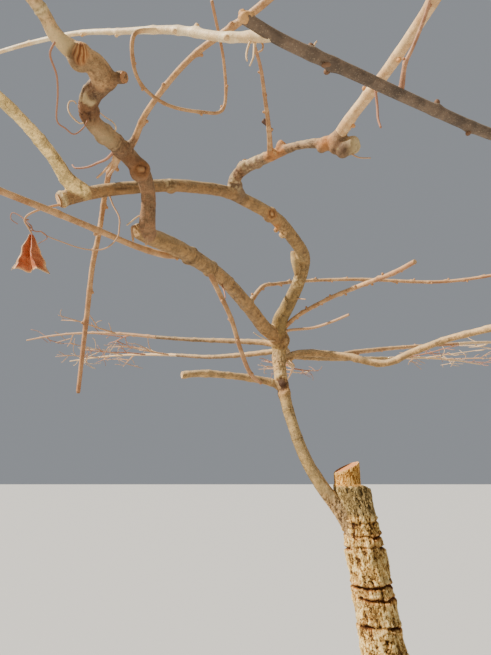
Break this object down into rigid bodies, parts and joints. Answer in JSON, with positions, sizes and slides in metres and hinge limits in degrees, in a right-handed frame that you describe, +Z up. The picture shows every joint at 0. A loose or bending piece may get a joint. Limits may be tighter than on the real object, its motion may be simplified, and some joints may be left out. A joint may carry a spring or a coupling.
{
  "type": "pergola-trained vine",
  "caption": "Bare winter vine trained overhead: ringed leaning trunk sawn off at chest height, a young leader, spreading arms, canes and twigs.",
  "frame": {"origin": "middle of the flat cut under the trunk, at ground level", "axes": "+Z up; -Y towards the side the long arms reach out to; the trunk leans towards -X"},
  "size_m": [2.9614, 3.7541, 2.3178],
  "materials": {
    "old_bark": "rough fissured bark",
    "limb_bark": "weathered smooth bark",
    "twig_bark": "dry cane skin"
  },
  "bodies": {
    "root": {"trunk": "old_bark", "leader": "limb_bark", "left_arm": "limb_bark", "left_rise": "limb_bark", "left_outer": "limb_bark", "right_arm": "limb_bark", "right_outer": "limb_bark", "left_fork": "limb_bark", "spur": "limb_bark", "spur_cane": "limb_bark", "rising_cane": "limb_bark", "cross_arm": "limb_bark", "cross_turn": "limb_bark", "near_cane": "limb_bark", "side_cane": "limb_bark", "upright_shoot": "limb_bark", "curl": "limb_bark", "low_cane": "limb_bark", "tied_cane": "limb_bark", "hanging_cane": "limb_bark", "back_cane": "limb_bark", "front_cane": "limb_bark", "pruned_arm": "limb_bark", "long_hanger": "limb_bark", "right_cane": "limb_bark", "right_front_cane": "limb_bark", "right_back_cane": "limb_bark", "back_arm": "limb_bark", "back_left_arm": "limb_bark", "left_back_arm": "limb_bark", "back_right_arm": "limb_bark", "front_left_twigs": "twig_bark", "left_twigs": "twig_bark", "far_left_twigs": "twig_bark", "front_twigs": "twig_bark", "front_right_twigs": "twig_bark", "right_front_twigs": "twig_bark", "right_twigs": "twig_bark", "far_right_twigs": "twig_bark", "right_back_twigs": "twig_bark", "left_back_twigs": "twig_bark", "back_left_twigs": "twig_bark", "back_twigs": "twig_bark", "back_right_twigs": "twig_bark"}
  },
  "joints": []
}
